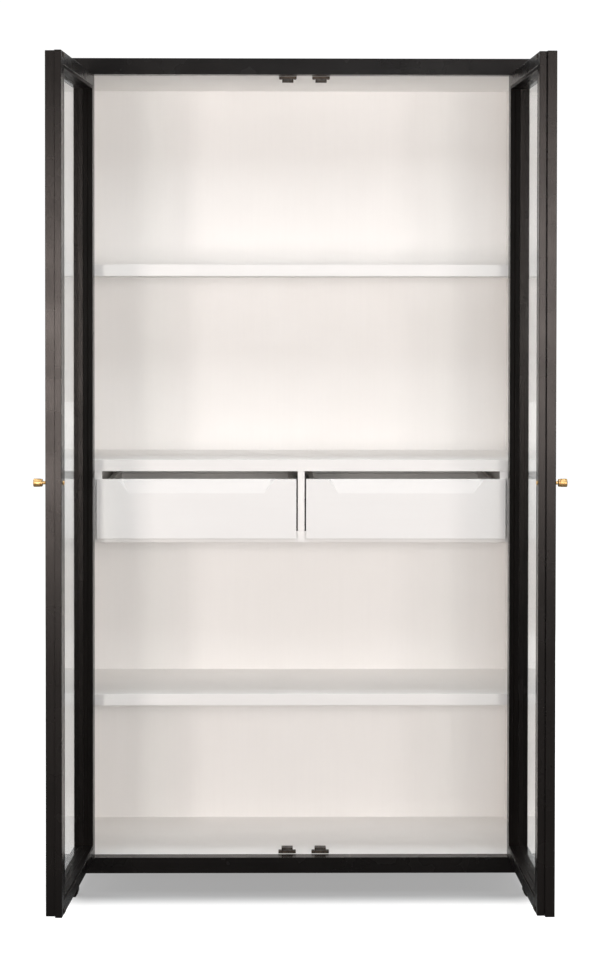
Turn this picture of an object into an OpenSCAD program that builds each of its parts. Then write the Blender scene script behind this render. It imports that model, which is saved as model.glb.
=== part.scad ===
// Tall free-standing apothecary cabinet: a lacquered case with two rebated
// glass doors hung inside the case, three full-width shelves and a bay with
// two drawers on telescopic runners.
// X runs across the front, Y runs from the front to the back, Z is up.
// The origin is on the floor, on the centre plane of the case.

/* [Case] */
// Width across the side panels
cab_w = 1200; // [1000:10:1400]
// Depth from the front edges to the back of the back panel
cab_d = 480; // [440:5:560]
// Height of the case without its feet
body_h = 2137.5; // [2100:2.5:2300]
// Thickness of a side, skin and lining together
side_t = 16.7; // [15:0.1:25]
// Thickness of the top slab
top_t = 42.4; // [36:0.2:60]
// Thickness of the bottom slab
floor_t = 41.3; // [34:0.1:60]
// Depth of the dark return behind the front edges
band_d = 37.7; // [34:0.1:38]
// Thickness of the back panel
back_t = 9.2; // [6:0.1:16]
// Distance of the front plane from the origin
front_y = 54.5; // [0:0.5:120]

/* [Feet] */
// Height of the feet
foot_h = 63.5; // [30:0.5:120]
// Width of a foot
foot_w = 13.2; // [10:0.1:16]
// Depth of a foot from front to back
foot_d = 45; // [30:1:80]

/* [Shelves] */
// Thickness of the shelves
shelf_t = 30.5; // [18:0.5:36]
// Setback of the shelf edges from the front plane
shelf_y = 59.2; // [59:0.1:80]
// Top of the upper shelf above the underside of the case
upper_z = 1600; // [1400:5:1800]
// Top of the middle shelf above the underside of the case
middle_z = 1084; // [1074:1:1100]
// Top of the drawer board above the underside of the case
board_z = 895; // [885:1:900]
// Top of the lower shelf above the underside of the case
lower_z = 462.4; // [300:0.2:600]

/* [Doors] */
// Thickness of a door
door_t = 40.4; // [38:0.1:40.8]
// Width of a hinge stile
stile_w = 40; // [34:0.5:60]
// Height of the door rails
rail_h = 39; // [34:0.5:60]
// Thickness of the outer half of the rebated meeting edges
lip_t = 23.4; // [18:0.1:26]
// Step of the rebated meeting edges
lip_w = 12; // [8:0.5:16]
// Running gap round the doors
gap = 1.6; // [1:0.1:3]
// Angle of the left door from closed
left_open = 92.96; // [91:0.01:120]
// Angle of the right door from closed
right_open = 91.41; // [91:0.01:120]
// Thickness of the glass
glass_t = 4; // [3:0.5:6]
// Height of the knobs above the underside of the case
knob_z = 1072; // [1040:1:1200]

/* [Drawers] */
// Thickness of a drawer front
front_t = 17.6; // [14:0.1:17.6]
// Height of a drawer front
front_h = 158.4; // [150:0.1:160]
// Half of the space between the two drawer fronts
front_in = 12.8; // [11:0.1:20]
// Distance of a drawer front's outer end from the centre plane
front_out = 540; // [530:0.5:540]
// Length of the drawer sides and runners
box_l = 400; // [300:10:400]
// Thickness of the drawer sides
box_t = 12; // [9:0.5:15]
// Width of a telescopic runner
run_w = 12.7; // [12.7:0.1:14]
// Depth of the finger scoop in a drawer front
scoop_d = 9; // [5:0.5:12]
// Lean of the two slanted ends of the scoop, in degrees
scoop_lean = 38; // [0:1:50]

/* [Hidden] */
$fn = 48;

hw = cab_w / 2;
ow = hw - side_t;            // half width of the opening
skin = 9;                    // outer skin behind the dark return
z0 = foot_h;                 // underside of the case
zc = z0 + body_h - top_t;    // ceiling
zf = z0 + floor_t;           // floor of the case
yb = cab_d - back_t;         // inside face of the back
lin_t = 18;                  // floor and ceiling linings

// doors, measured from the hinge axis
px = ow - gap / 2;           // hinge axis from the centre plane
pv = 1;                      // hinge axis in front of the front plane
e0 = gap / 2;                // hinge edge from the axis
zl = zf + gap;               // underside of the doors
zt = zc - gap;               // top of the doors
long_end = px + lip_w / 2 - gap / 2;
short_end = px - lip_w / 2 - gap / 2;
sight = short_end - 38;      // glass side of the meeting stile
reb = 8;                     // width of the glass rebate
lip = 12;                    // outer lip in front of the glass
hinge_zs = [for (h = [160, 834, 1442, 2033]) z0 + h];
hh = 38;                     // half height of a hinge
kr = 3.2;                    // knuckle radius
leaf_t = 1.6;
catch_xs = [-36.4, 51.2];    // centres of the catches
catch_y = 44;

// drawer bay
spc_x = hw - 73.5;           // inner face of a runner spacer
div_t = 18;
bay_z0 = z0 + board_z;
bay_z1 = z0 + middle_z - shelf_t;
fy1 = shelf_y - 0.4;         // back face of a drawer front
fy0 = fy1 - front_t;
fz0 = bay_z0 - 19.6;
fz1 = fz0 + front_h;
box_x0 = div_t / 2 + run_w;  // inner face line of a drawer side pair
box_x1 = spc_x - run_w;
box_z0 = bay_z0 + 10;
box_z1 = fz1 - 3.5;
run_z = bay_z0 + 28.6;       // centre line of the runners

black = [0.16, 0.155, 0.15];
white = [0.94, 0.93, 0.91];
brass = [0.80, 0.58, 0.27];
bronze = [0.27, 0.22, 0.18];
steel_black = [0.06, 0.06, 0.06];
birch = [0.90, 0.89, 0.86];

// ---- helpers -------------------------------------------------------------
module box(a, b) translate(a) cube(b - a);
// extrudes an outline drawn as [y, z] along X
module along_x(x0, x1) translate([x0, 0, 0]) rotate([90, 0, 90]) linear_extrude(x1 - x0) children();
// extrudes an outline drawn as [x, z] along Y
module along_y(y0, y1) translate([0, y1, 0]) rotate([90, 0, 0]) linear_extrude(y1 - y0) children();
module both() { children(); mirror([1, 0, 0]) children(); }
module placed() translate([0, front_y, 0]) children();
// puts a piece drawn from the hinge axis of the left door into its place
module left_door() placed() translate([-px, -pv, 0]) rotate([0, 0, -left_open]) translate([0, pv, 0]) children();
module right_door() placed() mirror([1, 0, 0]) translate([-px, -pv, 0]) rotate([0, 0, -right_open]) translate([0, pv, 0]) children();

// ---- case ----------------------------------------------------------------
module side(s) {
  difference() {
    translate([0, 0, z0]) linear_extrude(body_h - top_t)
      polygon([[s * ow, 0], [s * hw, 0], [s * hw, cab_d], [s * (hw - skin), cab_d],
               [s * (hw - skin), band_d], [s * ow, band_d]]);
    for (h = hinge_zs) {
      translate([s * px, -pv, h - hh - 2.2]) cylinder(r = kr + 0.5, h = 2 * hh + 4.4);
      translate([s * (ow + leaf_t / 2), 0, h]) translate([-leaf_t / 2, 0, -hh]) cube([leaf_t, 28, 2 * hh]);
      for (k = [-1, 0, 1]) translate([s * ow, 18, h + k * 26]) rotate([0, s * 90, 0]) cylinder(r = 1.5, h = 13.6);
    }
  }
}
module left_side_panel() { color(black) placed() side(-1); }
module right_side_panel() { color(black) placed() side(1); }
module side_lining(s) {
  x = s > 0 ? ow : -(hw - skin);
  box([x, band_d, z0], [x + side_t - skin, yb, zc]);
}
module left_side_lining() { color(white) placed() side_lining(-1); }
module right_side_lining() { color(white) placed() side_lining(1); }
module top_panel() {
  color(black) placed() difference() {
    box([-hw, 0, zc], [hw, cab_d, zc + top_t]);
    box([-ow, band_d, zc - 1], [ow, yb, zc + lin_t]);
  }
}
module bottom_panel() {
  color(black) placed() along_x(-ow, ow)
    polygon([[0, z0], [yb, z0], [yb, zf - lin_t], [band_d, zf - lin_t], [band_d, zf], [0, zf]]);
}
module ceiling_lining() {
  color(white) placed() difference() {
    box([-ow, band_d, zc], [ow, yb, zc + lin_t]);
    catch_screw_holes(1);
  }
}
module floor_lining() {
  color(white) placed() difference() {
    box([-ow, band_d, zf - lin_t], [ow, yb, zf]);
    catch_screw_holes(-1);
  }
}
module back_panel() { color(white) placed() box([-(hw - skin), yb, z0], [hw - skin, cab_d, zc]); }
module foot() along_y(0, foot_d)
  polygon([[hw - foot_w, 9], [hw - foot_w + 5.8, 0], [hw, 0], [hw, foot_h], [hw - foot_w, foot_h]]);
module feet() {
  color(black) placed() both() {
    translate([0, 2, 0]) foot();
    translate([0, cab_d - 2 - foot_d, 0]) foot();
  }
}

// ---- shelves and drawer bay ---------------------------------------------
module shelf(h) placed() box([-ow, shelf_y, z0 + h - shelf_t], [ow, yb, z0 + h]);
module upper_shelf() { color(white) shelf(upper_z); }
module middle_shelf() { color(white) shelf(middle_z); }
module drawer_board() { color(white) shelf(board_z); }
module lower_shelf() { color(white) shelf(lower_z); }
module drawer_divider() { color(white) placed() box([-div_t / 2, shelf_y, bay_z0], [div_t / 2, yb, bay_z1]); }
module runner_spacers() { color(white) placed() both() box([spc_x, shelf_y, bay_z0], [ow, yb, bay_z1]); }

// ---- magnetic catches ----------------------------------------------------
// u = 1 hangs from the ceiling, u = -1 stands on the floor
module catch_place(u) for (x = catch_xs) {
  if (u > 0) translate([x, 0, zc]) mirror([0, 0, 1]) children();
  if (u < 0) translate([x, 0, zf]) children();
}
module catch_screw_shape() {
  for (s = [-1, 1]) translate([s * 18.8, catch_y + 9, 0]) {
    translate([0, 0, -11]) cylinder(r = 1.4, h = 17.5);
    translate([0, 0, 6.4]) cylinder(r = 3, h = 1.5);
  }
}
module catch_screw_holes(u) catch_place(u) for (s = [-1, 1])
  translate([s * 18.8, catch_y + 9, -11]) cylinder(r = 1.4, h = 12);
module magnetic_catches() {
  color(bronze) placed() for (u = [-1, 1]) catch_place(u) difference() {
    union() {
      box([-23, catch_y, 0], [23, catch_y + 18, 6.4]);
      box([-14.75, catch_y, 0], [14.75, catch_y + 24, 15.2]);
    }
    box([-11.5, catch_y - 1, 6.6], [11.5, catch_y + 16, 12.8]);
    for (s = [-1, 1]) translate([s * 18.8, catch_y + 9, -1]) cylinder(r = 1.4, h = 9);
  }
}
module catch_magnets() {
  color([0.55, 0.54, 0.52]) placed() for (u = [-1, 1]) catch_place(u) {
    box([-11.5, catch_y - 1.2, 6.6], [11.5, catch_y + 16, 8.2]);
    box([-11.5, catch_y, 8.2], [11.5, catch_y + 16, 11.2]);
    box([-11.5, catch_y - 1.2, 11.2], [11.5, catch_y + 16, 12.8]);
  }
}
module catch_screws() { color(bronze) placed() for (u = [-1, 1]) catch_place(u) catch_screw_shape(); }

// ---- telescopic runners --------------------------------------------------
// drawn against a wall at x = 0 with the drawer on the +X side
module fixed_channel() translate([0, shelf_y + 2, run_z]) {
  box([0, 0, -22.5], [1.2, box_l, 22.5]);
  for (s = [-1, 1]) {
    box([1.2, 0, s > 0 ? 21.3 : -22.5], [10.4, box_l, s > 0 ? 22.5 : -21.3]);
  }
}
module middle_channel() translate([0, shelf_y + 2, run_z]) {
  box([2.0, 0, -18.6], [3.2, box_l - 6, 18.6]);
  for (s = [-1, 1]) {
    box([3.2, 0, s > 0 ? 17.4 : -18.6], [10.9, box_l - 6, s > 0 ? 18.6 : -17.4]);
    box([4.4, 4, s > 0 ? 18.6 : -20.9], [8.8, box_l - 20, s > 0 ? 20.9 : -18.6]);
    box([5.4, 4, s > 0 ? 14.9 : -17.4], [9.8, box_l - 20, s > 0 ? 17.4 : -14.9]);
  }
}
module drawer_channel() translate([0, shelf_y + 2, run_z]) {
  box([run_w - 1.2, -2, -14.5], [run_w, box_l - 10, 14.5]);
  for (s = [-1, 1])
    box([4.4, -2, s > 0 ? 13.3 : -14.5], [run_w - 1.2, box_l - 10, s > 0 ? 14.5 : -13.3]);
}
// one pair for the drawer on the +X side of the case
module runner_pair() {
  translate([div_t / 2, 0, 0]) children();
  translate([spc_x, 0, 0]) mirror([1, 0, 0]) children();
}
module fixed_runner_channels() { color(steel_black) placed() both() runner_pair() fixed_channel(); }
module right_runner_middle_members() { color(steel_black) placed() runner_pair() middle_channel(); }
module left_runner_middle_members() { color(steel_black) placed() mirror([1, 0, 0]) runner_pair() middle_channel(); }
module right_drawer_runner_channels() { color(steel_black) placed() runner_pair() drawer_channel(); }
module left_drawer_runner_channels() { color(steel_black) placed() mirror([1, 0, 0]) runner_pair() drawer_channel(); }

// ---- drawers, drawn on the +X side of the case ---------------------------
scoop_x = (front_in + front_out) / 2;
module front_shape() difference() {
  box([front_in, fy0, fz0], [front_out, fy1, fz1]);
  intersection() {
    along_x(front_in + 10, front_out - 10)
      polygon([[fy0 - 1, fz1 - 32], [fy0, fz1 - 32], [fy0 + scoop_d, fz1], [fy0 + scoop_d, fz1 + 1], [fy0 - 1, fz1 + 1]]);
    translate([scoop_x, 0, 0]) scoop_end();
    translate([scoop_x, 0, 0]) mirror([1, 0, 0]) scoop_end();
  }
}
// everything on the inner side of one slanted, leaning end of the scoop
module scoop_end() {
  translate([182, fy0, fz1 - 32]) rotate([0, -51.7, 0]) rotate([scoop_lean, 0, 0])
    translate([-700, -60, 0]) cube([1200, 560, 700]);
}
module sides_shape() {
  difference() {
    box([box_x0, fy1, box_z0], [box_x0 + box_t, fy1 + box_l, box_z1]);
    box([box_x0 + box_t - 6, fy1 - 1, box_z0 + 7], [box_x0 + box_t + 1, fy1 + box_l + 1, box_z0 + 13]);
  }
  difference() {
    box([box_x1 - box_t, fy1, box_z0], [box_x1, fy1 + box_l, box_z1]);
    box([box_x1 - box_t - 1, fy1 - 1, box_z0 + 7], [box_x1 - box_t + 6, fy1 + box_l + 1, box_z0 + 13]);
  }
}
module back_shape() box([box_x0 + box_t, fy1 + box_l - 12, box_z0 + 13], [box_x1 - box_t, fy1 + box_l, box_z1 - 12]);
module bottom_shape() box([box_x0 + box_t - 6, fy1, box_z0 + 7], [box_x1 - box_t + 6, fy1 + box_l, box_z0 + 13]);
module right_drawer_front() { color(white) placed() front_shape(); }
module right_drawer_sides() { color(birch) placed() sides_shape(); }
module right_drawer_back() { color(birch) placed() back_shape(); }
module right_drawer_bottom() { color(birch) placed() bottom_shape(); }
module left_drawer_front() { color(white) placed() mirror([1, 0, 0]) front_shape(); }
module left_drawer_sides() { color(birch) placed() mirror([1, 0, 0]) sides_shape(); }
module left_drawer_back() { color(birch) placed() mirror([1, 0, 0]) back_shape(); }
module left_drawer_bottom() { color(birch) placed() mirror([1, 0, 0]) bottom_shape(); }

// ---- hinges, drawn round the hinge axis of the left door -----------------
// the frame leaf lies at x < 0, the door leaf at x > 0 when closed
module leaf_screw(side) for (h = hinge_zs) for (k = [-1, 0, 1])
  translate([side * e0, 18, h + k * 26]) rotate([0, side * 90, 0]) {
    cylinder(r = 2.7, h = 0.9);
    translate([0, 0, 0.9]) cylinder(r = 1.5, h = 12);
  }
module leaf(side) for (h = hinge_zs) difference() {
  union() {
    translate([side > 0 ? e0 : -e0 - leaf_t, kr + 0.4, h - hh]) cube([leaf_t, 28 - kr - 0.4, 2 * hh]);
    if (side < 0) for (s = [-1, 1]) {
      translate([0, -pv, s > 0 ? h + 12.9 : h - hh]) cylinder(r = kr, h = hh - 12.9);
      translate([-e0 - leaf_t, -pv, s > 0 ? h + 12.9 : h - hh]) cube([leaf_t, kr + 0.5 + pv, hh - 12.9]);
    }
    if (side > 0) {
      translate([0, -pv, h - 12.6]) cylinder(r = kr, h = 25.2);
      translate([e0, -pv, h - 12.6]) cube([leaf_t, kr + 0.5 + pv, 25.2]);
    }
  }
  translate([0, -pv, h - hh - 1]) cylinder(r = side > 0 ? 1.65 : 1.6, h = 2 * hh + 2);
  for (k = [-1, 0, 1]) translate([side * e0, 18, h + k * 26]) rotate([0, side * 90, 0]) {
    translate([0, 0, -1]) cylinder(r = 2.7, h = 1.9);
    cylinder(r = 1.5, h = 4);
  }
}
module frame_hinge_leaves() { color(brass) placed() both() translate([-px, 0, 0]) leaf(-1); }
module hinge_pins() {
  color(brass) placed() both() translate([-px, -pv, 0]) for (h = hinge_zs) translate([0, 0, h - hh]) {
    cylinder(r = 1.6, h = 2 * hh);
    translate([0, 0, -1.4]) cylinder(r = 2.6, h = 1.4);
    translate([0, 0, 2 * hh]) cylinder(r = 2.6, h = 1.4);
  }
}
module frame_hinge_screws() { color(brass) placed() both() translate([-px, 0, 0]) leaf_screw(-1); }

// ---- door pieces, drawn closed from the hinge axis -----------------------
module hinge_stile_shape() difference() {
  box([e0, 0, zl], [e0 + stile_w, door_t, zt]);
  box([e0 + stile_w - reb, lip, zl + rail_h - reb], [e0 + stile_w + 1, door_t + 1, zt - rail_h + reb]);
  for (h = hinge_zs) {
    translate([0, -pv, h - hh - 2.2]) cylinder(r = kr + 0.5, h = 2 * hh + 4.4);
    translate([e0 - 1, -1, h - hh]) cube([leaf_t + 1, 29, 2 * hh]);
    for (k = [-1, 0, 1]) translate([e0, 18, h + k * 26]) rotate([0, 90, 0]) cylinder(r = 1.5, h = 12.9);
  }
}
// l = 1 when the inner half carries the long lip, 0 when the outer half does
module meeting_stile_shape(l) difference() {
  translate([0, 0, zl]) linear_extrude(zt - zl)
    polygon([[sight, 0], [l > 0 ? short_end : long_end, 0],
             [l > 0 ? short_end : long_end, l > 0 ? lip_t + 0.4 : lip_t - 0.4],
             [l > 0 ? long_end : short_end, l > 0 ? lip_t + 0.4 : lip_t - 0.4],
             [l > 0 ? long_end : short_end, door_t], [sight, door_t]]);
  box([sight - 1, lip, zl + rail_h - reb], [sight + reb, door_t + 1, zt - rail_h + reb]);
  translate([sight + 20, -1, z0 + knob_z]) rotate([-90, 0, 0]) cylinder(r = 2.1, h = door_t + 2);
}
module rail_shape(top) {
  za = top ? zt - rail_h : zl;
  difference() {
    box([e0 + stile_w, 0, za], [sight, door_t, za + rail_h]);
    box([e0 + stile_w - 1, lip, top ? za - 1 : za + rail_h - reb], [sight + 1, door_t + 1, top ? za + reb : za + rail_h + 1]);
  }
}
gx0 = e0 + stile_w - reb;
gx1 = sight + reb;
gz0 = zl + rail_h - reb;
gz1 = zt - rail_h + reb;
module glass_shape() box([gx0 + 1, lip, gz0 + 1], [gx1 - 1, lip + glass_t, gz1 - 1]);
function bead_line(w) = [[0, lip + glass_t], [w, lip + glass_t], [w, 27.3], [w - 1.1, 28.2], [w, 29.1], [w, door_t], [0, door_t]];
module beads_shape() {
  translate([gx0, 0, gz0]) linear_extrude(gz1 - gz0) polygon(bead_line(reb));
  translate([gx1, 0, gz0]) mirror([1, 0, 0]) linear_extrude(gz1 - gz0) polygon(bead_line(reb));
  along_x(gx0 + reb, gx1 - reb) polygon([for (p = bead_line(reb)) [p[1], gz0 + p[0]]]);
  along_x(gx0 + reb, gx1 - reb) polygon([for (p = bead_line(reb)) [p[1], gz1 - p[0]]]);
}
module knob_shape() translate([sight + 20, 0, z0 + knob_z]) rotate([90, 0, 0]) difference() {
  rotate_extrude() polygon([[0, 0], [6.2, 0], [6.2, 1], [4.1, 2.2], [4.1, 9.2], [8.4, 9.2], [9.4, 10.2],
    [9.4, 12.6], [8.9, 13.1], [8.9, 13.7], [9.85, 14.3], [9.85, 29.3], [8.9, 30.4], [0, 30.4]]);
  translate([0, 0, -1]) cylinder(r = 2.1, h = 13);
}
module knob_screw_shape() translate([sight + 20, 0, z0 + knob_z]) rotate([-90, 0, 0]) {
  translate([0, 0, -12]) cylinder(r = 2.1, h = 12 + door_t);
  translate([0, 0, door_t]) rotate_extrude() polygon([[0, 0], [5, 0], [5, 1.2], [4.2, 2.6], [2.6, 3.2], [0, 3.2]]);
}
module strike_shape(x) for (z = [zc - 9.6, zf + 9.6])
  box([px - x - 14, door_t, z - 6], [px - x + 14, door_t + 1.6, z + 6]);

module left_door_hinge_stile() { color(black) left_door() hinge_stile_shape(); }
module left_door_meeting_stile() { color(black) left_door() meeting_stile_shape(1); }
module left_door_top_rail() { color(black) left_door() rail_shape(true); }
module left_door_bottom_rail() { color(black) left_door() rail_shape(false); }
module left_door_glass() { color([0.8, 0.84, 0.83, 0.35]) left_door() glass_shape(); }
module left_door_glazing_beads() { color(black) left_door() beads_shape(); }
module left_door_knob() { color(brass) left_door() knob_shape(); }
module left_door_knob_screw() { color(brass) left_door() knob_screw_shape(); }
module left_door_hinge_leaves() { color(brass) left_door() leaf(1); }
module left_door_hinge_screws() { color(brass) left_door() leaf_screw(1); }
module left_door_strike_plates() { color(bronze) left_door() strike_shape(-catch_xs[0]); }
module right_door_hinge_stile() { color(black) right_door() hinge_stile_shape(); }
module right_door_meeting_stile() { color(black) right_door() meeting_stile_shape(0); }
module right_door_top_rail() { color(black) right_door() rail_shape(true); }
module right_door_bottom_rail() { color(black) right_door() rail_shape(false); }
module right_door_glass() { color([0.8, 0.84, 0.83, 0.35]) right_door() glass_shape(); }
module right_door_glazing_beads() { color(black) right_door() beads_shape(); }
module right_door_knob() { color(brass) right_door() knob_shape(); }
module right_door_knob_screw() { color(brass) right_door() knob_screw_shape(); }
module right_door_hinge_leaves() { color(brass) right_door() leaf(1); }
module right_door_hinge_screws() { color(brass) right_door() leaf_screw(1); }
module right_door_strike_plates() { color(bronze) right_door() strike_shape(catch_xs[1]); }

left_side_panel();
right_side_panel();
top_panel();
bottom_panel();
back_panel();
left_side_lining();
right_side_lining();
ceiling_lining();
floor_lining();
feet();
upper_shelf();
middle_shelf();
drawer_board();
lower_shelf();
drawer_divider();
runner_spacers();
magnetic_catches();
catch_magnets();
catch_screws();
fixed_runner_channels();
frame_hinge_leaves();
hinge_pins();
frame_hinge_screws();
left_door_hinge_stile();
left_door_meeting_stile();
left_door_top_rail();
left_door_bottom_rail();
left_door_glass();
left_door_glazing_beads();
left_door_knob();
left_door_knob_screw();
left_door_hinge_leaves();
left_door_hinge_screws();
left_door_strike_plates();
right_door_hinge_stile();
right_door_meeting_stile();
right_door_top_rail();
right_door_bottom_rail();
right_door_glass();
right_door_glazing_beads();
right_door_knob();
right_door_knob_screw();
right_door_hinge_leaves();
right_door_hinge_screws();
right_door_strike_plates();
left_drawer_front();
left_drawer_sides();
left_drawer_back();
left_drawer_bottom();
left_drawer_runner_channels();
left_runner_middle_members();
right_drawer_front();
right_drawer_sides();
right_drawer_back();
right_drawer_bottom();
right_drawer_runner_channels();
right_runner_middle_members();
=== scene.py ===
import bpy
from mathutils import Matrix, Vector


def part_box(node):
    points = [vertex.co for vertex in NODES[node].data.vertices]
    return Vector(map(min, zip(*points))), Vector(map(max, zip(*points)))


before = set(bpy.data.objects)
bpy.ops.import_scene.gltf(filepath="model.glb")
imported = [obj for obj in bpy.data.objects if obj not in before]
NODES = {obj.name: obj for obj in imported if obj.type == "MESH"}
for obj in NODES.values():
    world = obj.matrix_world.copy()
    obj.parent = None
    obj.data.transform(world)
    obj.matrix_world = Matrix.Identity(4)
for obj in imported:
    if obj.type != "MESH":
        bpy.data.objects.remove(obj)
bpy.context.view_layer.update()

import math

import bmesh
import bpy
from mathutils import Matrix, Vector

scene = bpy.context.scene

# ---------------------------------------------------------------- materials


def new_material(name):
    m = bpy.data.materials.new(name)
    m.use_nodes = True
    m.node_tree.nodes.clear()
    return m


def put(tree, kind, **values):
    n = tree.nodes.new(kind)
    for key, value in values.items():
        setattr(n, key, value)
    return n


def noise(tree, coords, scale, detail=3.0, rough=0.5, stretch=(1, 1, 1), shift=(0, 0, 0)):
    mp = put(tree, "ShaderNodeMapping")
    mp.inputs["Scale"].default_value = stretch
    mp.inputs["Location"].default_value = shift
    tree.links.new(coords, mp.inputs["Vector"])
    n = put(tree, "ShaderNodeTexNoise")
    n.inputs["Scale"].default_value = scale
    n.inputs["Detail"].default_value = detail
    n.inputs["Roughness"].default_value = rough
    tree.links.new(mp.outputs["Vector"], n.inputs["Vector"])
    return n.outputs["Fac"]


def ramp(tree, fac, stops):
    r = put(tree, "ShaderNodeValToRGB")
    e = r.color_ramp.elements
    while len(e) < len(stops):
        e.new(0.5)
    for el, (pos, col) in zip(e, stops):
        el.position = pos
        el.color = (*col, 1.0) if len(col) == 3 else col
    tree.links.new(fac, r.inputs["Fac"])
    return r.outputs["Color"]


def span(tree, fac, lo, hi, a=0.3, b=0.7):
    m = put(tree, "ShaderNodeMapRange")
    m.inputs["From Min"].default_value = a
    m.inputs["From Max"].default_value = b
    m.inputs["To Min"].default_value = lo
    m.inputs["To Max"].default_value = hi
    tree.links.new(fac, m.inputs["Value"])
    return m.outputs["Result"]


def mix_colour(tree, fac, a, b, mode="MIX"):
    m = put(tree, "ShaderNodeMix", data_type="RGBA", blend_type=mode)
    for socket, value in ((m.inputs[0], fac), (m.inputs[6], a), (m.inputs[7], b)):
        if isinstance(value, (int, float)):
            socket.default_value = value
        elif isinstance(value, tuple):
            socket.default_value = (*value, 1.0)
        else:
            tree.links.new(value, socket)
    return m.outputs[2]


def bump(tree, height, strength, distance, normal=None):
    b = put(tree, "ShaderNodeBump")
    b.inputs["Strength"].default_value = strength
    b.inputs["Distance"].default_value = distance
    tree.links.new(height, b.inputs["Height"])
    if normal is not None:
        tree.links.new(normal, b.inputs["Normal"])
    return b.outputs["Normal"]


def surface(m, colour, roughness, normal, metallic=0.0, coat=0.0, coat_rough=0.1, specular=0.5, tint=(1, 1, 1)):
    t = m.node_tree
    p = put(t, "ShaderNodeBsdfPrincipled")
    o = put(t, "ShaderNodeOutputMaterial")
    t.links.new(colour, p.inputs["Base Color"])
    t.links.new(roughness, p.inputs["Roughness"])
    if normal is not None:
        t.links.new(normal, p.inputs["Normal"])
    p.inputs["Metallic"].default_value = metallic
    p.inputs["Coat Weight"].default_value = coat
    p.inputs["Coat Roughness"].default_value = coat_rough
    p.inputs["Specular IOR Level"].default_value = specular
    p.inputs["Specular Tint"].default_value = (*tint, 1.0)
    t.links.new(p.outputs["BSDF"], o.inputs["Surface"])
    return p


def object_coords(t):
    return put(t, "ShaderNodeTexCoord").outputs["Object"]


def lacquer(name, dark, light, grain, rough=(0.3, 0.42), peel=0.05, pores=0.25, scuff=None, specular=0.5, tint=(1, 1, 1)):
    """Sprayed lacquer over veneered board: faint grain lying along one way, fine orange peel, small rubbed marks."""
    m = new_material(name)
    t = m.node_tree
    c = object_coords(t)
    broad = noise(t, c, 2.2, 4.0, 0.55)
    lines = noise(t, c, 120.0, 4.0, 0.6, stretch=grain)
    cloud = noise(t, c, 11.0, 3.0, 0.5, shift=(3.1, 1.7, 0.4))
    base = ramp(t, broad, [(0.3, dark), (0.7, light)])
    base = mix_colour(t, span(t, lines, 0.0, pores, 0.42, 0.72), base, tuple(0.72 * x for x in dark))
    if scuff:
        base = mix_colour(t, span(t, noise(t, c, 46.0, 5.0, 0.7, stretch=grain, shift=(0.7, 2.3, 5.1)), 0.0, 0.35, 0.60, 0.80), base, scuff)
    r = span(t, cloud, rough[0], rough[1], 0.32, 0.68)
    n1 = bump(t, lines, 0.07, 0.0004)
    n2 = bump(t, noise(t, c, 420.0, 2.0, 0.5), peel, 0.0005, n1)
    surface(m, base, r, n2, specular=specular, tint=tint)
    return m


def metal(name, dark, light, rough, scratch=(1, 1, 14), scratch_amount=0.05, metallic=1.0):
    """Turned or pressed metal: tarnish clouds, fine tool marks, faint scratches."""
    m = new_material(name)
    t = m.node_tree
    c = object_coords(t)
    cloud = noise(t, c, 90.0, 4.0, 0.6)
    fine = noise(t, c, 900.0, 3.0, 0.6, stretch=scratch)
    col = ramp(t, cloud, [(0.3, dark), (0.68, light)])
    col = mix_colour(t, span(t, fine, 0.0, 0.25, 0.5, 0.8), col, tuple(0.7 * x for x in dark))
    r = span(t, cloud, rough[1], rough[0], 0.3, 0.7)
    surface(m, col, r, bump(t, fine, scratch_amount, 0.0003), metallic=metallic)
    return m


def clear_glass(name):
    """Float glass with a very faint roller wave; lamps shine through it."""
    m = new_material(name)
    t = m.node_tree
    c = object_coords(t)
    g = put(t, "ShaderNodeBsdfPrincipled")
    g.inputs["Transmission Weight"].default_value = 1.0
    g.inputs["IOR"].default_value = 1.5
    wave = noise(t, c, 3.5, 1.0, 0.3, stretch=(1, 1, 0.5))
    t.links.new(ramp(t, wave, [(0.3, (0.965, 0.98, 0.974)), (0.7, (0.985, 0.993, 0.989))]), g.inputs["Base Color"])
    t.links.new(span(t, noise(t, c, 30.0, 2.0), 0.0, 0.012), g.inputs["Roughness"])
    t.links.new(bump(t, wave, 0.012, 0.002), g.inputs["Normal"])
    clear = put(t, "ShaderNodeBsdfTransparent")
    clear.inputs["Color"].default_value = (0.9, 0.93, 0.92, 1)
    path = put(t, "ShaderNodeLightPath")
    mix = put(t, "ShaderNodeMixShader")
    o = put(t, "ShaderNodeOutputMaterial")
    t.links.new(path.outputs["Is Shadow Ray"], mix.inputs[0])
    t.links.new(g.outputs["BSDF"], mix.inputs[1])
    t.links.new(clear.outputs["BSDF"], mix.inputs[2])
    t.links.new(mix.outputs["Shader"], o.inputs["Surface"])
    return m


ALONG_Z = (1.0, 1.0, 0.03)
ALONG_XY = (0.05, 0.05, 1.0)
ALONG_X = (0.03, 1.0, 1.0)
BLACK = ((0.0044, 0.0038, 0.0035), (0.0072, 0.0060, 0.0055))
WHITE = ((0.897, 0.886, 0.870), (0.920, 0.911, 0.898))
SCUFF = (0.012, 0.0105, 0.010)
WARM = (1.0, 0.94, 0.91)

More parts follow.
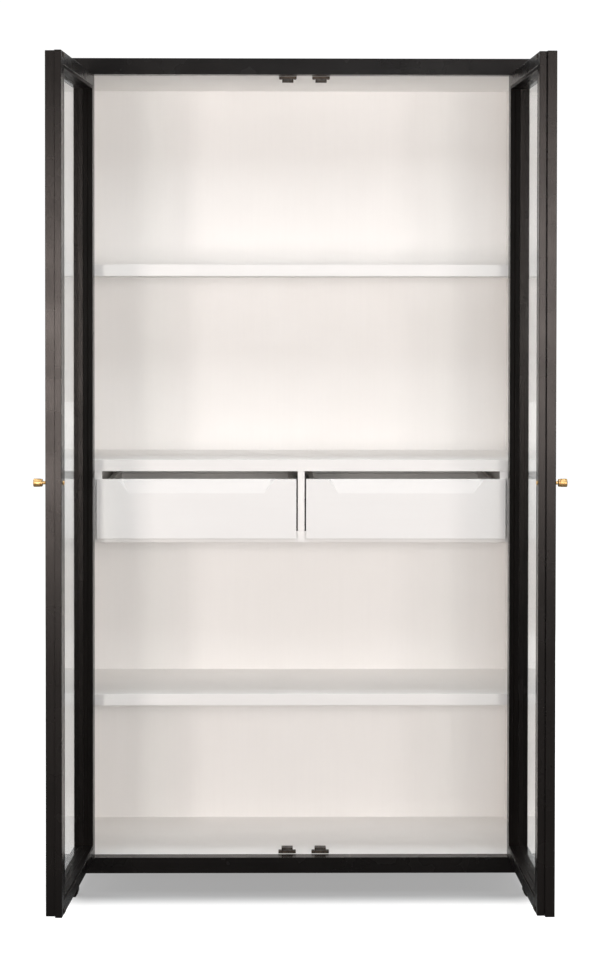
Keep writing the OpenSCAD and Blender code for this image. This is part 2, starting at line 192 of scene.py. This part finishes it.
M = {
    "black_upright": lacquer("black_lacquer_upright", *BLACK, ALONG_Z, rough=(0.24, 0.29), pores=0.12, scuff=SCUFF, specular=0.20, tint=WARM),
    "black_level": lacquer("black_lacquer_level", *BLACK, ALONG_XY, rough=(0.24, 0.29), pores=0.12, scuff=SCUFF, specular=0.155),
    "black_bead": lacquer("black_lacquer_beads", *BLACK, ALONG_Z, rough=(0.30, 0.38), pores=0.1, scuff=None, specular=0.02),
    "white_upright": lacquer("white_lacquer_upright", *WHITE, ALONG_Z, rough=(0.38, 0.48), pores=0.04, specular=0.3),
    "white_level": lacquer("white_lacquer_level", *WHITE, ALONG_X, rough=(0.36, 0.46), pores=0.04, specular=0.3),
    "front_white": lacquer("white_lacquer_fronts", (0.885, 0.877, 0.865), (0.905, 0.898, 0.888), ALONG_X, rough=(0.36, 0.44), pores=0.03, specular=0.35),
    "drawer_board": lacquer("drawer_side_board", (0.890, 0.872, 0.846), (0.925, 0.912, 0.890), (1.0, 0.04, 1.0), rough=(0.38, 0.50), pores=0.05),
    "brass": metal("brushed_brass", (0.60, 0.36, 0.13), (0.82, 0.56, 0.26), (0.34, 0.50)),
    "hinge_brass": metal("aged_brass", (0.20, 0.135, 0.065), (0.42, 0.30, 0.16), (0.34, 0.5)),
    "bronze": metal("dark_bronze", (0.022, 0.018, 0.015), (0.062, 0.049, 0.038), (0.36, 0.5), metallic=0.85),
    "magnet": metal("magnet_face", (0.030, 0.028, 0.026), (0.085, 0.080, 0.074), (0.42, 0.55), metallic=0.8),
    "runner": metal("black_runner_paint", (0.010, 0.010, 0.011), (0.022, 0.022, 0.024), (0.35, 0.5), metallic=0.3),
    "glass": clear_glass("float_glass"),
}


def pick(n):
    if n.endswith("_glass"):
        return "glass"
    if n in ("left_side_panel", "right_side_panel", "feet") or n.endswith(("hinge_stile", "meeting_stile")):
        return "black_upright"
    if n in ("top_panel", "bottom_panel") or n.endswith("_rail"):
        return "black_level"
    if n.endswith("glazing_beads"):
        return "black_bead"
    if "knob" in n:
        return "brass"
    if "hinge" in n:
        return "hinge_brass"
    if n in ("magnetic_catches", "catch_screws") or n.endswith("strike_plates"):
        return "bronze"
    if n == "catch_magnets":
        return "magnet"
    if n.endswith(("runner_channels", "middle_members")):
        return "runner"
    if n.endswith("drawer_front"):
        return "front_white"
    if n.endswith(("drawer_sides", "drawer_back", "drawer_bottom")):
        return "drawer_board"
    if n in ("back_panel", "left_side_lining", "right_side_lining", "drawer_divider", "runner_spacers"):
        return "white_upright"
    return "white_level"


# width of the softened edges, in metres
EDGE = {"black_upright": 0.0012, "black_level": 0.0012, "black_bead": 0.0008, "white_upright": 0.001, "white_level": 0.0012, "front_white": 0.0015,
        "drawer_board": 0.0008, "glass": 0.0, "brass": 0.0004, "hinge_brass": 0.0, "bronze": 0.0006, "magnet": 0.0002, "runner": 0.0}

for n, o in NODES.items():
    key = pick(n)
    o.data.materials.clear()
    o.data.materials.append(M[key])
    w = EDGE[key]
    if n in ("ceiling_lining", "floor_lining", "back_panel", "left_side_lining", "right_side_lining"):
        w = 0.0
    if w > 0:
        weld = o.modifiers.new("weld", "WELD")
        weld.merge_threshold = 0.00002
        b = o.modifiers.new("soft_edges", "BEVEL")
        b.width = w
        b.segments = 2
        b.limit_method = "ANGLE"
        b.angle_limit = math.radians(40)
        b.use_clamp_overlap = True
        b.harden_normals = True

# ---------------------------------------------------------------- stage

FLOOR_SEEN, FLOOR_BOUNCE = 0.28, 0.25
# floor glow: a dim level under the cabinet that is a painted shadow, and a bright level away from it
PAINTED_SHADOW_GLOW, GLOW_FAR = 0.335, 0.97


def plane(name, size, loc, rot=(0, 0, 0)):
    me = bpy.data.meshes.new(name)
    s = size / 2
    me.from_pydata([(-s, -s, 0), (s, -s, 0), (s, s, 0), (-s, s, 0)], [], [(0, 1, 2, 3)])
    o = bpy.data.objects.new(name, me)
    o.location = loc
    o.rotation_euler = rot
    scene.collection.objects.link(o)
    return o


floor = plane("studio_floor", 60.0, (0, 0, 0))
fm = new_material("studio_floor")
ft = fm.node_tree
# seen directly it is a pale sweep that glows, with a painted soft shadow where the glow drops under the cabinet's
# footprint; to bounced light it is a darker floor
foot_lo, foot_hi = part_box("bottom_panel")
fc = put(ft, "ShaderNodeTexCoord")
fxyz = put(ft, "ShaderNodeSeparateXYZ")
ft.links.new(fc.outputs["Object"], fxyz.inputs[0])
outside = []
for axis, k in (("X", 0), ("Y", 1)):
    centre, half = (foot_lo[k] + foot_hi[k]) / 2, (foot_hi[k] - foot_lo[k]) / 2
    a = put(ft, "ShaderNodeMath", operation="SUBTRACT")
    a.inputs[1].default_value = centre
    ft.links.new(fxyz.outputs[axis], a.inputs[0])
    b = put(ft, "ShaderNodeMath", operation="ABSOLUTE")
    ft.links.new(a.outputs[0], b.inputs[0])
    c = put(ft, "ShaderNodeMath", operation="SUBTRACT")
    c.inputs[1].default_value = half - 0.03
    ft.links.new(b.outputs[0], c.inputs[0])
    d = put(ft, "ShaderNodeMath", operation="MAXIMUM")
    d.inputs[1].default_value = 0.0
    ft.links.new(c.outputs[0], d.inputs[0])
    e = put(ft, "ShaderNodeMath", operation="POWER")
    e.inputs[1].default_value = 2.0
    ft.links.new(d.outputs[0], e.inputs[0])
    outside.append(e.outputs[0])
fsum = put(ft, "ShaderNodeMath", operation="ADD")
ft.links.new(outside[0], fsum.inputs[0])
ft.links.new(outside[1], fsum.inputs[1])
froot = put(ft, "ShaderNodeMath", operation="SQRT")
ft.links.new(fsum.outputs[0], froot.inputs[0])
# painted shadow: the floor's glow fades from the bright level down to the dim level within a soft band around the
# bottom panel's footprint
painted_shadow_glow = put(ft, "ShaderNodeMapRange", interpolation_type="SMOOTHSTEP")
painted_shadow_glow.inputs["From Min"].default_value = 0.02
painted_shadow_glow.inputs["From Max"].default_value = 0.15
painted_shadow_glow.inputs["To Min"].default_value = PAINTED_SHADOW_GLOW
painted_shadow_glow.inputs["To Max"].default_value = GLOW_FAR
ft.links.new(froot.outputs[0], painted_shadow_glow.inputs["Value"])
fd = put(ft, "ShaderNodeBsdfDiffuse")
fd.inputs["Color"].default_value = (FLOOR_SEEN, FLOOR_SEEN, FLOOR_SEEN, 1)
fe = put(ft, "ShaderNodeEmission")
ft.links.new(painted_shadow_glow.outputs["Result"], fe.inputs["Strength"])
fa = put(ft, "ShaderNodeAddShader")
ft.links.new(fd.outputs[0], fa.inputs[0])
ft.links.new(fe.outputs[0], fa.inputs[1])
fb = put(ft, "ShaderNodeBsdfDiffuse")
fb.inputs["Color"].default_value = (FLOOR_BOUNCE, FLOOR_BOUNCE, FLOOR_BOUNCE, 1)
fp = put(ft, "ShaderNodeLightPath")
fq = put(ft, "ShaderNodeMath", operation="MULTIPLY")
ft.links.new(fp.outputs["Is Transmission Ray"], fq.inputs[0])
fbehind = put(ft, "ShaderNodeMapRange")      # through glass, the floor behind the cabinet is painted dim, standing in for the unlit part of the room
fbehind.inputs["From Min"].default_value = 0.3
fbehind.inputs["From Max"].default_value = 1.5
ft.links.new(fxyz.outputs["Y"], fbehind.inputs["Value"])
fside = put(ft, "ShaderNodeMath", operation="ABSOLUTE")
ft.links.new(fxyz.outputs["X"], fside.inputs[0])
fnear = put(ft, "ShaderNodeMapRange")
fnear.inputs["From Min"].default_value = 1.0
fnear.inputs["From Max"].default_value = 2.4
fnear.inputs["To Min"].default_value = 1.0
fnear.inputs["To Max"].default_value = 0.0
ft.links.new(fside.outputs[0], fnear.inputs["Value"])
painted_dim_zone = put(ft, "ShaderNodeMath", operation="MULTIPLY")
ft.links.new(fbehind.outputs["Result"], painted_dim_zone.inputs[0])
ft.links.new(fnear.outputs["Result"], painted_dim_zone.inputs[1])
fshare = put(ft, "ShaderNodeMapRange")
fshare.inputs["To Min"].default_value = 0.8
fshare.inputs["To Max"].default_value = 0.32
ft.links.new(painted_dim_zone.outputs[0], fshare.inputs["Value"])
ft.links.new(fshare.outputs["Result"], fq.inputs[1])
fx = put(ft, "ShaderNodeMath", operation="MAXIMUM")
ft.links.new(fp.outputs["Is Camera Ray"], fx.inputs[0])
fdirect = put(ft, "ShaderNodeMath", operation="LESS_THAN")   # light bounced off a matt face sees the dim floor, also through glass
fdirect.inputs[1].default_value = 0.5
ft.links.new(fp.outputs["Diffuse Depth"], fdirect.inputs[0])
fgate = put(ft, "ShaderNodeMath", operation="MULTIPLY")
ft.links.new(fq.outputs[0], fgate.inputs[0])
ft.links.new(fdirect.outputs[0], fgate.inputs[1])
ft.links.new(fgate.outputs[0], fx.inputs[1])
fs = put(ft, "ShaderNodeMixShader")
ft.links.new(fx.outputs[0], fs.inputs[0])
ft.links.new(fb.outputs[0], fs.inputs[1])
ft.links.new(fa.outputs[0], fs.inputs[2])
fo = put(ft, "ShaderNodeOutputMaterial")
ft.links.new(fs.outputs[0], fo.inputs["Surface"])
floor.data.materials.append(fm)

world = bpy.data.worlds.new("studio")
scene.world = world
world.use_nodes = True
wt = world.node_tree
wt.nodes.clear()
wc = put(wt, "ShaderNodeTexCoord")
ws = put(wt, "ShaderNodeSeparateXYZ")
wt.links.new(wc.outputs["Generated"], ws.inputs[0])
wr = put(wt, "ShaderNodeMapRange")          # dim behind the camera, bright behind the cabinet
wr.inputs["From Min"].default_value = -0.6
wr.inputs["From Max"].default_value = 0.3
wr.inputs["To Min"].default_value = 0.15
wr.inputs["To Max"].default_value = 0.45
wt.links.new(ws.outputs["Y"], wr.inputs["Value"])
wb = put(wt, "ShaderNodeBackground")
wb.inputs["Color"].default_value = (1, 1, 1, 1)
white = put(wt, "ShaderNodeBackground")
white.inputs["Color"].default_value = (1, 1, 1, 1)
white.inputs["Strength"].default_value = 1.05
wp = put(wt, "ShaderNodeLightPath")
wm = put(wt, "ShaderNodeMixShader")
wo = put(wt, "ShaderNodeOutputWorld")
part = put(wt, "ShaderNodeMath", operation="MULTIPLY")
share = put(wt, "ShaderNodeMapRange")       # through glass, the room straight behind the cabinet is dim
share.inputs["From Min"].default_value = 0.965
share.inputs["From Max"].default_value = 0.985
share.inputs["To Min"].default_value = 0.85
share.inputs["To Max"].default_value = 0.2
wt.links.new(ws.outputs["Y"], share.inputs["Value"])
wt.links.new(share.outputs["Result"], part.inputs[1])
wt.links.new(wp.outputs["Is Transmission Ray"], part.inputs[0])
direct = put(wt, "ShaderNodeMath", operation="LESS_THAN")
direct.inputs[1].default_value = 0.5
wt.links.new(wp.outputs["Diffuse Depth"], direct.inputs[0])
gate = put(wt, "ShaderNodeMath", operation="MULTIPLY")
wt.links.new(part.outputs[0], gate.inputs[0])
wt.links.new(direct.outputs[0], gate.inputs[1])
bounced = put(wt, "ShaderNodeMath", operation="GREATER_THAN")   # matt faces behind glass already get the room through shadow rays
bounced.inputs[1].default_value = 0.5
wt.links.new(wp.outputs["Diffuse Depth"], bounced.inputs[0])
twice = put(wt, "ShaderNodeMath", operation="MULTIPLY")
wt.links.new(bounced.outputs[0], twice.inputs[0])
wt.links.new(wp.outputs["Is Transmission Ray"], twice.inputs[1])
once = put(wt, "ShaderNodeMath", operation="SUBTRACT")
once.inputs[0].default_value = 1.0
wt.links.new(twice.outputs[0], once.inputs[1])
room = put(wt, "ShaderNodeMath", operation="MULTIPLY")
wt.links.new(wr.outputs["Result"], room.inputs[0])
wt.links.new(once.outputs[0], room.inputs[1])
wt.links.new(room.outputs[0], wb.inputs["Strength"])
seen = put(wt, "ShaderNodeMath", operation="MAXIMUM")
wt.links.new(wp.outputs["Is Camera Ray"], seen.inputs[0])
wt.links.new(gate.outputs[0], seen.inputs[1])
wt.links.new(seen.outputs[0], wm.inputs[0])
wt.links.new(wb.outputs[0], wm.inputs[1])
wt.links.new(white.outputs[0], wm.inputs[2])
wt.links.new(wm.outputs[0], wo.inputs["Surface"])


def softbox(name, loc, target, size_x, size_y, power, colour=(1, 1, 1)):
    d = bpy.data.lights.new(name, "AREA")
    d.shape = "RECTANGLE"
    d.size = size_x
    d.size_y = size_y
    d.energy = power
    d.color = colour
    o = bpy.data.objects.new(name, d)
    o.location = loc
    o.rotation_euler = (Vector(target) - Vector(loc)).to_track_quat("-Z", "Y").to_euler()
    o.visible_camera = False
    o.visible_transmission = False
    scene.collection.objects.link(o)
    return o


softbox("softbox_left", (-1.75, -5.9, 1.26), (-0.3, 0.1, 1.25), 0.7, 1.45, 94, (1.0, 0.905, 0.86))
softbox("softbox_right", (1.60, -5.9, 1.58), (0.3, 0.1, 1.25), 0.9, 1.6, 72, (1.0, 0.905, 0.86))
softbox("softbox_front", (0.4, -6.3, 1.62), (0.0, 0.1, 1.2), 1.4, 0.7, 62, (0.985, 0.99, 1.0))
softbox("softbox_high", (-0.2, -3.2, 4.1), (0, 0.1, 1.1), 4.8, 1.4, 56, (0.95, 0.98, 1.0))
softbox("softbox_top", (0.0, -0.3, 5.5), (0, -0.1, 0.0), 3.4, 1.4, 108, (0.95, 0.98, 1.0))
back = softbox("softbox_back", (0.9, 5.0, 1.2), (0.0, 0.5, 1.1), 2.4, 1.5, 85, (0.97, 0.99, 1.0))
side_l = softbox("softbox_side_l", (-4.6, 1.4, 1.2), (-0.6, 0.3, 1.1), 1.6, 1.5, 45, (0.97, 0.99, 1.0))
side_r = softbox("softbox_side_r", (4.6, 1.4, 1.2), (0.6, 0.3, 1.1), 1.6, 1.5, 45, (0.97, 0.99, 1.0))
for lamp in (back, side_l, side_r):          # they model the back and the sides, without a glare on the lacquer
    lamp.visible_glossy = False

# ---------------------------------------------------------------- camera

cx, cy, cz = -0.0593, -5.8648, 1.5606
yaw, pitch, roll = 0.009333261, -0.019437184, -0.000971762
ex = Vector((math.cos(yaw), -math.sin(yaw), 0))
ey = Vector((math.sin(yaw), math.cos(yaw), 0))
ez = Vector((0, 0, 1))
fwd = math.cos(pitch) * ey + math.sin(pitch) * ez
up0 = -math.sin(pitch) * ey + math.cos(pitch) * ez
right = math.cos(roll) * ex - math.sin(roll) * up0
up = math.sin(roll) * ex + math.cos(roll) * up0
cam_data = bpy.data.cameras.new("camera")
cam = bpy.data.objects.new("camera", cam_data)
scene.collection.objects.link(cam)
cam.matrix_world = Matrix(((right.x, up.x, -fwd.x, cx), (right.y, up.y, -fwd.y, cy), (right.z, up.z, -fwd.z, cz), (0, 0, 0, 1)))
cam_data.sensor_width = 36.0
cam_data.lens = 2261.805 * 36.0 / 968.0
cam_data.shift_x = 0.0
cam_data.shift_y = -(484.0 - 347.62) / 968.0
cam_data.clip_end = 100.0
cam_data.clip_start = 0.05
scene.camera = cam

scene.cycles.max_bounces = 14
scene.cycles.diffuse_bounces = 9
scene.view_settings.view_transform = "Standard"
scene.view_settings.look = "None"
scene.view_settings.exposure = 0.0
scene.view_settings.gamma = 1.0
